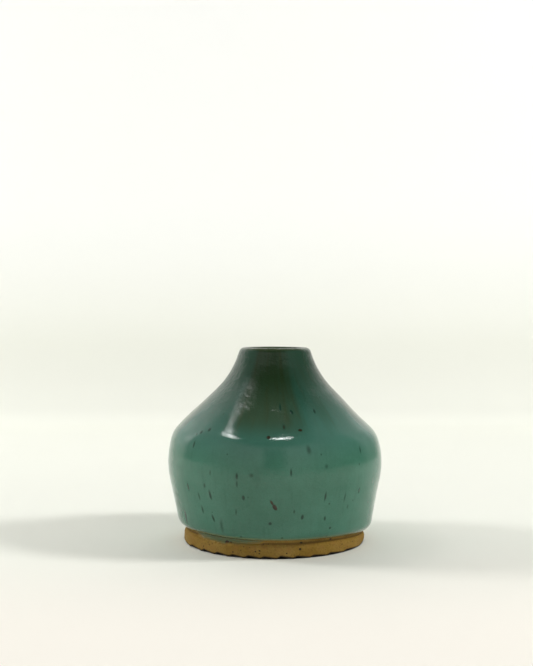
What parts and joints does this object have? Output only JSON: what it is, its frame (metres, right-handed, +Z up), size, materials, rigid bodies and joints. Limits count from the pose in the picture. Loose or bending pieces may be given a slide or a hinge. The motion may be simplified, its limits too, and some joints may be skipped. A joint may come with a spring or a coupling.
{
  "type": "ceramic bud vase",
  "caption": "Small wheel-thrown stoneware bottle with a narrow cylindrical neck, round shoulder and belly, glazed inside and out, on a low bare clay foot with a wire-cut underside.",
  "frame": {"origin": "centre of the circle that the foot stands on, on the standing surface", "axes": "+Z up along the throwing axis, out of the mouth; -Y is the front, with the pooled glaze on its left; +X is to the right seen from the front"},
  "size_m": [0.0762, 0.0762, 0.0688],
  "materials": {
    "foot_clay": "bare speckled buff stoneware, matt",
    "body_clay": "bare speckled buff stoneware, matt",
    "outer_glaze": "glossy blue-green celadon glaze with iron specks",
    "liner_glaze": "glossy blue-green celadon glaze",
    "run_glaze": "glossy olive-green pooled glaze"
  },
  "bodies": {
    "root": {"clay_foot": "foot_clay", "clay_body": "body_clay", "outer_glaze": "outer_glaze", "liner_glaze": "liner_glaze", "groove_glaze_run": "run_glaze"}
  },
  "joints": []
}
